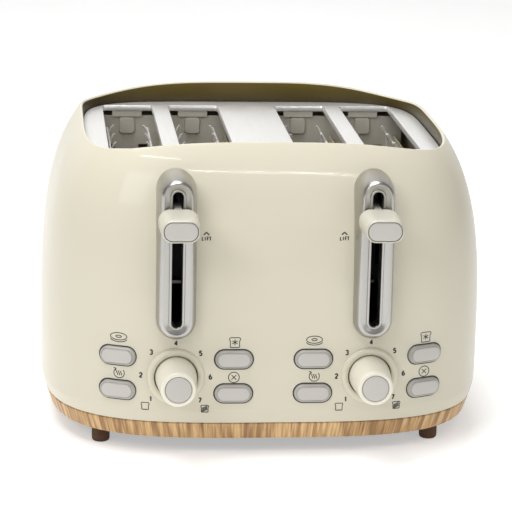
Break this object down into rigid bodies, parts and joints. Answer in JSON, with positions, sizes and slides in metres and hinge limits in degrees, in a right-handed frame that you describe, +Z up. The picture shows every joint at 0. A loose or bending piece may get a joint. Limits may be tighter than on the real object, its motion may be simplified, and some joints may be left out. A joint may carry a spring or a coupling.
{
  "type": "pop up toaster",
  "caption": "Domed pop up toaster with paired wide bread slots, lift levers, browning dials and push buttons on its front, a wooden base band and pull-out crumb trays.",
  "frame": {"origin": "on the floor plane under the middle of the body, at the feet's lower faces", "axes": "+Z up, -Y towards the front with the levers and dials, +X to the right seen from the front"},
  "size_m": [0.315, 0.3474, 0.2153],
  "materials": {
    "cream_enamel": "glossy cream enamel",
    "cream_plastic": "semi-gloss cream",
    "satin_metal": "satin",
    "button_silver": "satin silver paint on plastic",
    "oak": "light oak, satin",
    "brown_rubber": "matte",
    "black_steel": "matte black",
    "plated_steel": "zinc plated",
    "bright_wire": "bright",
    "mica": "layered mica sheet with heating wire",
    "copper_coil": "lacquered copper wire",
    "board_green": "coated board",
    "black_plastic": "matte",
    "white_ceramic": "matte"
  },
  "bodies": {
    "chassis": {"housing_shell": "cream_enamel", "top_deck": "satin_metal", "base_band": "oak", "base_pan": "black_steel", "feet": "brown_rubber", "base_screws": "plated_steel", "lever_bezel_left": "satin_metal", "lever_bezel_right": "satin_metal", "latch_magnet_left": "copper_coil", "latch_magnet_right": "copper_coil", "dial_ring_left": "cream_enamel", "dial_ring_right": "cream_enamel", "dial_potentiometer_left": "black_plastic", "dial_potentiometer_right": "black_plastic", "control_board_left": "board_green", "control_board_right": "board_green", "guide_rods": "plated_steel", "chassis_front_plate": "black_steel", "chassis_rear_plate": "plated_steel", "heater_boards": "mica", "cord_gland": "black_plastic", "terminal_block": "white_ceramic"},
    "lever_left": {"lever_handle_left": "cream_plastic", "lever_cap_left": "button_silver", "lift_carriage_left": "plated_steel", "bread_rack_left": "plated_steel", "latch_armature_left": "plated_steel", "lift_spring_left": "plated_steel"},
    "lever_right": {"lever_handle_right": "cream_plastic", "lever_cap_right": "button_silver", "lift_carriage_right": "plated_steel", "bread_rack_right": "plated_steel", "latch_armature_right": "plated_steel", "lift_spring_right": "plated_steel"},
    "dial_left": {"dial_knob_left": "cream_plastic", "dial_cap_left": "button_silver", "dial_shaft_left": "plated_steel"},
    "dial_right": {"dial_knob_right": "cream_plastic", "dial_cap_right": "button_silver", "dial_shaft_right": "plated_steel"},
    "button_bagel_left": {"button_bagel_left": "button_silver"},
    "button_reheat_left": {"button_reheat_left": "button_silver"},
    "button_defrost_left": {"button_defrost_left": "button_silver"},
    "button_cancel_left": {"button_cancel_left": "button_silver"},
    "button_bagel_right": {"button_bagel_right": "button_silver"},
    "button_reheat_right": {"button_reheat_right": "button_silver"},
    "button_defrost_right": {"button_defrost_right": "button_silver"},
    "button_cancel_right": {"button_cancel_right": "button_silver"},
    "bread_guard_1": {"bread_guard_1": "bright_wire"},
    "bread_guard_2": {"bread_guard_2": "bright_wire"},
    "bread_guard_3": {"bread_guard_3": "bright_wire"},
    "bread_guard_4": {"bread_guard_4": "bright_wire"},
    "bread_guard_5": {"bread_guard_5": "bright_wire"},
    "bread_guard_6": {"bread_guard_6": "bright_wire"},
    "bread_guard_7": {"bread_guard_7": "bright_wire"},
    "bread_guard_8": {"bread_guard_8": "bright_wire"},
    "crumb_tray_left": {"crumb_tray_left": "plated_steel"},
    "crumb_tray_right": {"crumb_tray_right": "plated_steel"}
  },
  "joints": [
    {"name": "lever_left_slide", "type": "slide", "parent": "chassis", "child": "lever_left", "axis": [0, 0, 1], "range_m": [-0.065, 0.009], "stiffness_N_per_m": 80, "springref_m": 0.01292, "deforming": ["lift_spring_left"]},
    {"name": "lever_right_slide", "type": "slide", "parent": "chassis", "child": "lever_right", "axis": [0, 0, 1], "range_m": [-0.065, 0.009], "stiffness_N_per_m": 80, "springref_m": 0.01292, "deforming": ["lift_spring_right"]},
    {"name": "dial_left_turn", "type": "hinge", "parent": "chassis", "child": "dial_left", "pos_m": [-0.0664, -0.15, 0.059], "axis": [0, -1, 0], "range_deg": [-135, 135]},
    {"name": "dial_right_turn", "type": "hinge", "parent": "chassis", "child": "dial_right", "pos_m": [0.0664, -0.15, 0.059], "axis": [0, -1, 0], "range_deg": [-135, 135]},
    {"name": "button_bagel_left_press", "type": "slide", "parent": "chassis", "child": "button_bagel_left", "axis": [0.3887, 0.9214, 0], "range_m": [0, 0.0022], "stiffness_N_per_m": 400, "springref_m": -0.0005},
    {"name": "button_reheat_left_press", "type": "slide", "parent": "chassis", "child": "button_reheat_left", "axis": [0.3887, 0.9214, 0], "range_m": [0, 0.0022], "stiffness_N_per_m": 400, "springref_m": -0.0005},
    {"name": "button_defrost_left_press", "type": "slide", "parent": "chassis", "child": "button_defrost_left", "axis": [0.0111, 0.9999, 0], "range_m": [0, 0.0022], "stiffness_N_per_m": 400, "springref_m": -0.0005},
    {"name": "button_cancel_left_press", "type": "slide", "parent": "chassis", "child": "button_cancel_left", "axis": [0.0111, 0.9999, 0], "range_m": [0, 0.0022], "stiffness_N_per_m": 400, "springref_m": -0.0005},
    {"name": "button_bagel_right_press", "type": "slide", "parent": "chassis", "child": "button_bagel_right", "axis": [-0.0111, 0.9999, 0], "range_m": [0, 0.0022], "stiffness_N_per_m": 400, "springref_m": -0.0005},
    {"name": "button_reheat_right_press", "type": "slide", "parent": "chassis", "child": "button_reheat_right", "axis": [-0.0111, 0.9999, 0], "range_m": [0, 0.0022], "stiffness_N_per_m": 400, "springref_m": -0.0005},
    {"name": "button_defrost_right_press", "type": "slide", "parent": "chassis", "child": "button_defrost_right", "axis": [-0.3887, 0.9214, 0], "range_m": [0, 0.0022], "stiffness_N_per_m": 400, "springref_m": -0.0005},
    {"name": "button_cancel_right_press", "type": "slide", "parent": "chassis", "child": "button_cancel_right", "axis": [-0.3887, 0.9214, 0], "range_m": [0, 0.0022], "stiffness_N_per_m": 400, "springref_m": -0.0005},
    {"name": "bread_guard_1_lean", "type": "hinge", "parent": "chassis", "child": "bread_guard_1", "pos_m": [-0.10665, 0.02, 0.048], "axis": [0, 1, 0], "range_deg": [-0.6, 3.6]},
    {"name": "bread_guard_2_lean", "type": "hinge", "parent": "chassis", "child": "bread_guard_2", "pos_m": [-0.07565, 0.02, 0.048], "axis": [0, 1, 0], "range_deg": [-3.6, 0.6]},
    {"name": "bread_guard_3_lean", "type": "hinge", "parent": "chassis", "child": "bread_guard_3", "pos_m": [-0.05635, 0.02, 0.048], "axis": [0, 1, 0], "range_deg": [-0.6, 3.6]},
    {"name": "bread_guard_4_lean", "type": "hinge", "parent": "chassis", "child": "bread_guard_4", "pos_m": [-0.02535, 0.02, 0.048], "axis": [0, 1, 0], "range_deg": [-3.6, 0.6]},
    {"name": "bread_guard_5_lean", "type": "hinge", "parent": "chassis", "child": "bread_guard_5", "pos_m": [0.02535, 0.02, 0.048], "axis": [0, 1, 0], "range_deg": [-0.6, 3.6]},
    {"name": "bread_guard_6_lean", "type": "hinge", "parent": "chassis", "child": "bread_guard_6", "pos_m": [0.05635, 0.02, 0.048], "axis": [0, 1, 0], "range_deg": [-3.6, 0.6]},
    {"name": "bread_guard_7_lean", "type": "hinge", "parent": "chassis", "child": "bread_guard_7", "pos_m": [0.07565, 0.02, 0.048], "axis": [0, 1, 0], "range_deg": [-0.6, 3.6]},
    {"name": "bread_guard_8_lean", "type": "hinge", "parent": "chassis", "child": "bread_guard_8", "pos_m": [0.10665, 0.02, 0.048], "axis": [0, 1, 0], "range_deg": [-3.6, 0.6]},
    {"name": "crumb_tray_left_slide", "type": "slide", "parent": "chassis", "child": "crumb_tray_left", "axis": [0, 1, 0], "range_m": [0, 0.2]},
    {"name": "crumb_tray_right_slide", "type": "slide", "parent": "chassis", "child": "crumb_tray_right", "axis": [0, 1, 0], "range_m": [0, 0.2]}
  ],
  "couplings": [
    {"joint": "bread_guard_1_lean", "follows": "lever_left_slide", "rad_per_m": -0.92},
    {"joint": "bread_guard_2_lean", "follows": "lever_left_slide", "rad_per_m": 0.92},
    {"joint": "bread_guard_3_lean", "follows": "lever_left_slide", "rad_per_m": -0.92},
    {"joint": "bread_guard_4_lean", "follows": "lever_left_slide", "rad_per_m": 0.92},
    {"joint": "bread_guard_5_lean", "follows": "lever_right_slide", "rad_per_m": -0.92},
    {"joint": "bread_guard_6_lean", "follows": "lever_right_slide", "rad_per_m": 0.92},
    {"joint": "bread_guard_7_lean", "follows": "lever_right_slide", "rad_per_m": -0.92},
    {"joint": "bread_guard_8_lean", "follows": "lever_right_slide", "rad_per_m": 0.92}
  ]
}
